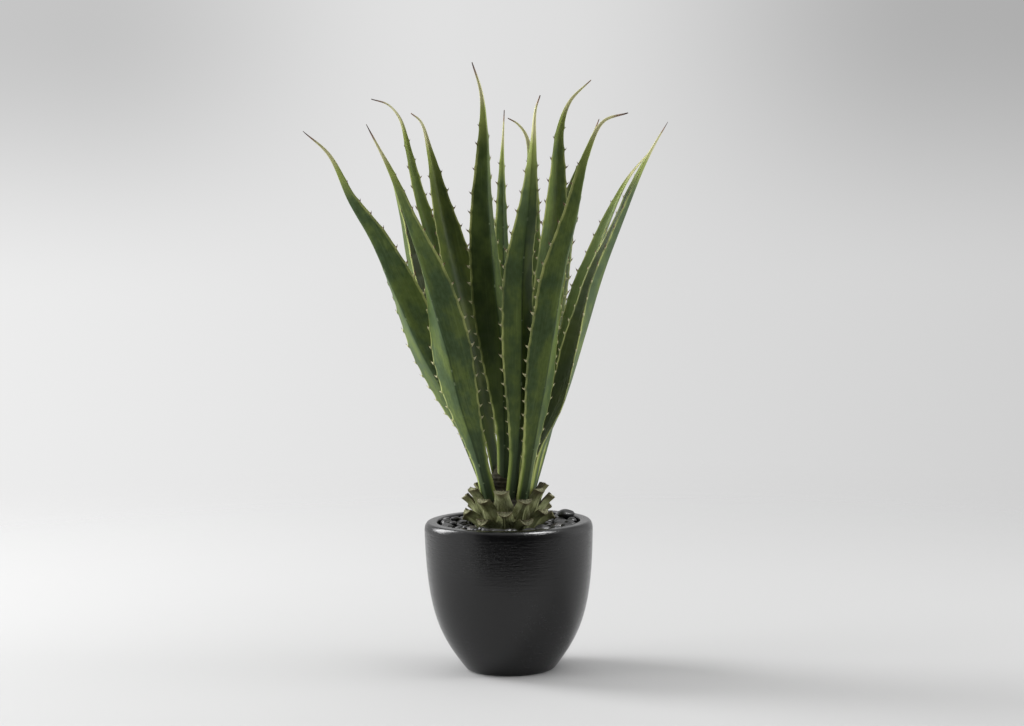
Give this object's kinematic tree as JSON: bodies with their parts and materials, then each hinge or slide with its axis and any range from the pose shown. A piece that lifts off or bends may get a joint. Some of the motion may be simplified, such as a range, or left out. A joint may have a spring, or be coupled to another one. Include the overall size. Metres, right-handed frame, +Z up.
{
  "type": "potted agave plant",
  "caption": "Tall upright agave with long toothed, keeled leaves on a short trunk of cut leaf bases, in a dark tapered round pot with soil and river stones.",
  "frame": {"origin": "middle of the pot's flat foot, on the surface it stands on", "axes": "+Z up along the pot's axis; the side the picture shows faces -Y, with +X to its right"},
  "size_m": [0.6377, 0.4408, 1.0791],
  "materials": {
    "pot": "satin",
    "soil": "matte",
    "pebbles": "satin",
    "trunk": "matte",
    "leaf": "satin"
  },
  "bodies": {
    "root": {"pot": "pot", "soil": "soil", "pebbles": "pebbles", "trunk": "trunk", "leaf_01": "leaf", "leaf_02": "leaf", "leaf_03": "leaf", "leaf_04": "leaf", "leaf_05": "leaf", "leaf_06": "leaf", "leaf_07": "leaf", "leaf_08": "leaf", "leaf_09": "leaf", "leaf_10": "leaf", "leaf_11": "leaf", "leaf_12": "leaf", "leaf_13": "leaf", "leaf_14": "leaf"}
  },
  "joints": []
}
